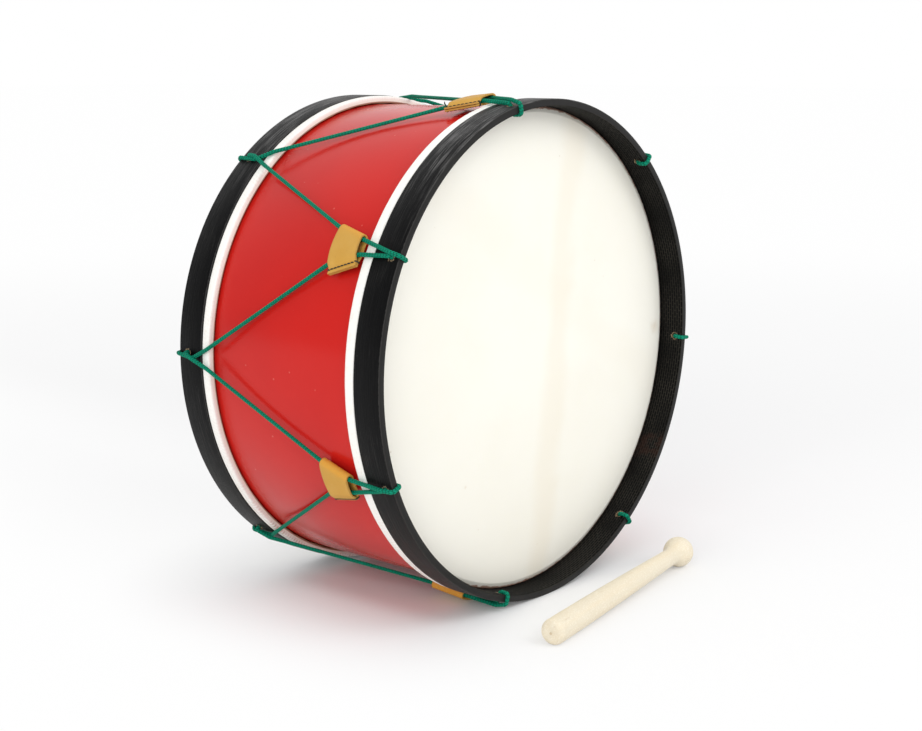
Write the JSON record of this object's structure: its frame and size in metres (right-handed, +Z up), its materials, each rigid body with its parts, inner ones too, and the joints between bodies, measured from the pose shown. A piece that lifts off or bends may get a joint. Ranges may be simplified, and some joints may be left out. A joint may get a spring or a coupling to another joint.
{
  "type": "tom-tom",
  "caption": "Rope-tensioned tom-tom with a lacquered shell, skin heads held by pressed wooden hoops, sliding leather ears and a loose wooden beater.",
  "frame": {"origin": "middle of the flat on the front hoop that the drum rests on", "axes": "+Z up; +Y along the drum's axis from the batter head to the back head; +X to the right for someone facing the batter head"},
  "size_m": [0.3628, 0.2624, 0.3538],
  "materials": {
    "red_lacquer": "satin red lacquer over plywood",
    "black_lacquer": "worn satin black paint over hardboard",
    "raw_wood": "bare wood",
    "pale_wood": "bare turned wood",
    "drum_skin": "scraped off-white skin",
    "tan_leather": "smooth tan leather with raw suede edges",
    "green_rope": "braided cord",
    "black_thread": "waxed thread"
  },
  "bodies": {
    "drum": {"shell": "red_lacquer", "reinforcement_ring_front": "raw_wood", "reinforcement_ring_back": "raw_wood", "flesh_hoop_front": "raw_wood", "flesh_hoop_back": "raw_wood", "counter_hoop_front": "black_lacquer", "counter_hoop_back": "black_lacquer", "batter_head": "drum_skin", "back_head": "drum_skin", "tension_rope": "green_rope", "rope_knot": "green_rope"},
    "ear_1": {"leather_ear_1": "tan_leather", "ear_stitch_1": "black_thread"},
    "ear_2": {"leather_ear_2": "tan_leather", "ear_stitch_2": "black_thread"},
    "ear_3": {"leather_ear_3": "tan_leather", "ear_stitch_3": "black_thread"},
    "ear_4": {"leather_ear_4": "tan_leather", "ear_stitch_4": "black_thread"},
    "ear_5": {"leather_ear_5": "tan_leather", "ear_stitch_5": "black_thread"},
    "ear_6": {"leather_ear_6": "tan_leather", "ear_stitch_6": "black_thread"},
    "ear_7": {"leather_ear_7": "tan_leather", "ear_stitch_7": "black_thread"},
    "beater": {"beater": "pale_wood"}
  },
  "joints": [
    {"name": "ear_1_slide", "type": "slide", "parent": "drum", "child": "ear_1", "axis": [0, 1, 0], "range_m": [0, 0.035], "deforming": ["tension_rope"]},
    {"name": "ear_2_slide", "type": "slide", "parent": "drum", "child": "ear_2", "axis": [0, 1, 0], "range_m": [-0.004, 0.035], "deforming": ["tension_rope"]},
    {"name": "ear_3_slide", "type": "slide", "parent": "drum", "child": "ear_3", "axis": [0, 1, 0], "range_m": [-0.002, 0.035], "deforming": ["tension_rope"]},
    {"name": "ear_4_slide", "type": "slide", "parent": "drum", "child": "ear_4", "axis": [0, 1, 0], "range_m": [-0.005, 0.035], "deforming": ["tension_rope"]},
    {"name": "ear_5_slide", "type": "slide", "parent": "drum", "child": "ear_5", "axis": [0, 1, 0], "range_m": [0, 0.035], "deforming": ["tension_rope"]},
    {"name": "ear_6_slide", "type": "slide", "parent": "drum", "child": "ear_6", "axis": [0, 1, 0], "range_m": [-0.003, 0.035], "deforming": ["tension_rope"]},
    {"name": "ear_7_slide", "type": "slide", "parent": "drum", "child": "ear_7", "axis": [0, 1, 0], "range_m": [0, 0.035], "deforming": ["tension_rope"]},
    {"name": "beater_lift", "type": "slide", "parent": "drum", "child": "beater", "axis": [0, 0, 1], "range_m": [0, 0.4]}
  ]
}
